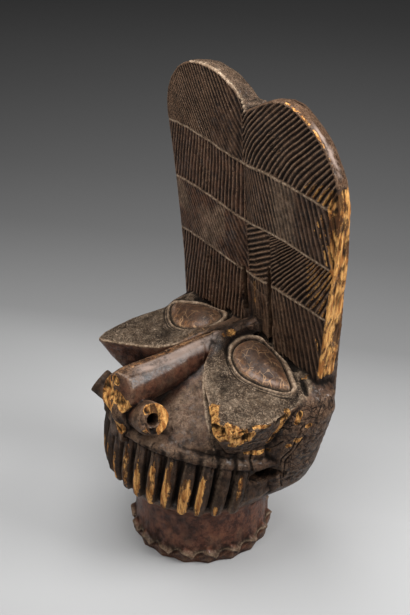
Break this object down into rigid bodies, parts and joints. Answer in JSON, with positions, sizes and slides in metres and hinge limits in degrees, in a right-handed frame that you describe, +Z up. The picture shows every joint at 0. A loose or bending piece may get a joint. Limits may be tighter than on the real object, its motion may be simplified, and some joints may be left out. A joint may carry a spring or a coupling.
{
  "type": "batcham mask",
  "caption": "Carved wooden crest mask: two tall ribbed lobes over a stylised head with shelf-like cheeks, long nose and toothed mouth, on a hollow neck.",
  "frame": {"origin": "middle of the bounding box on the plane of the neck's underside", "axes": "+Z up the crest, the face and nose look along -Y, +X is the viewer's right seen from the front"},
  "size_m": [0.3882, 0.299, 0.726],
  "materials": {
    "wood": "dark smoked patina, polished on high spots, bare golden wood where worn or chipped"
  },
  "bodies": {
    "root": {"carved_mask": "wood"}
  },
  "joints": []
}
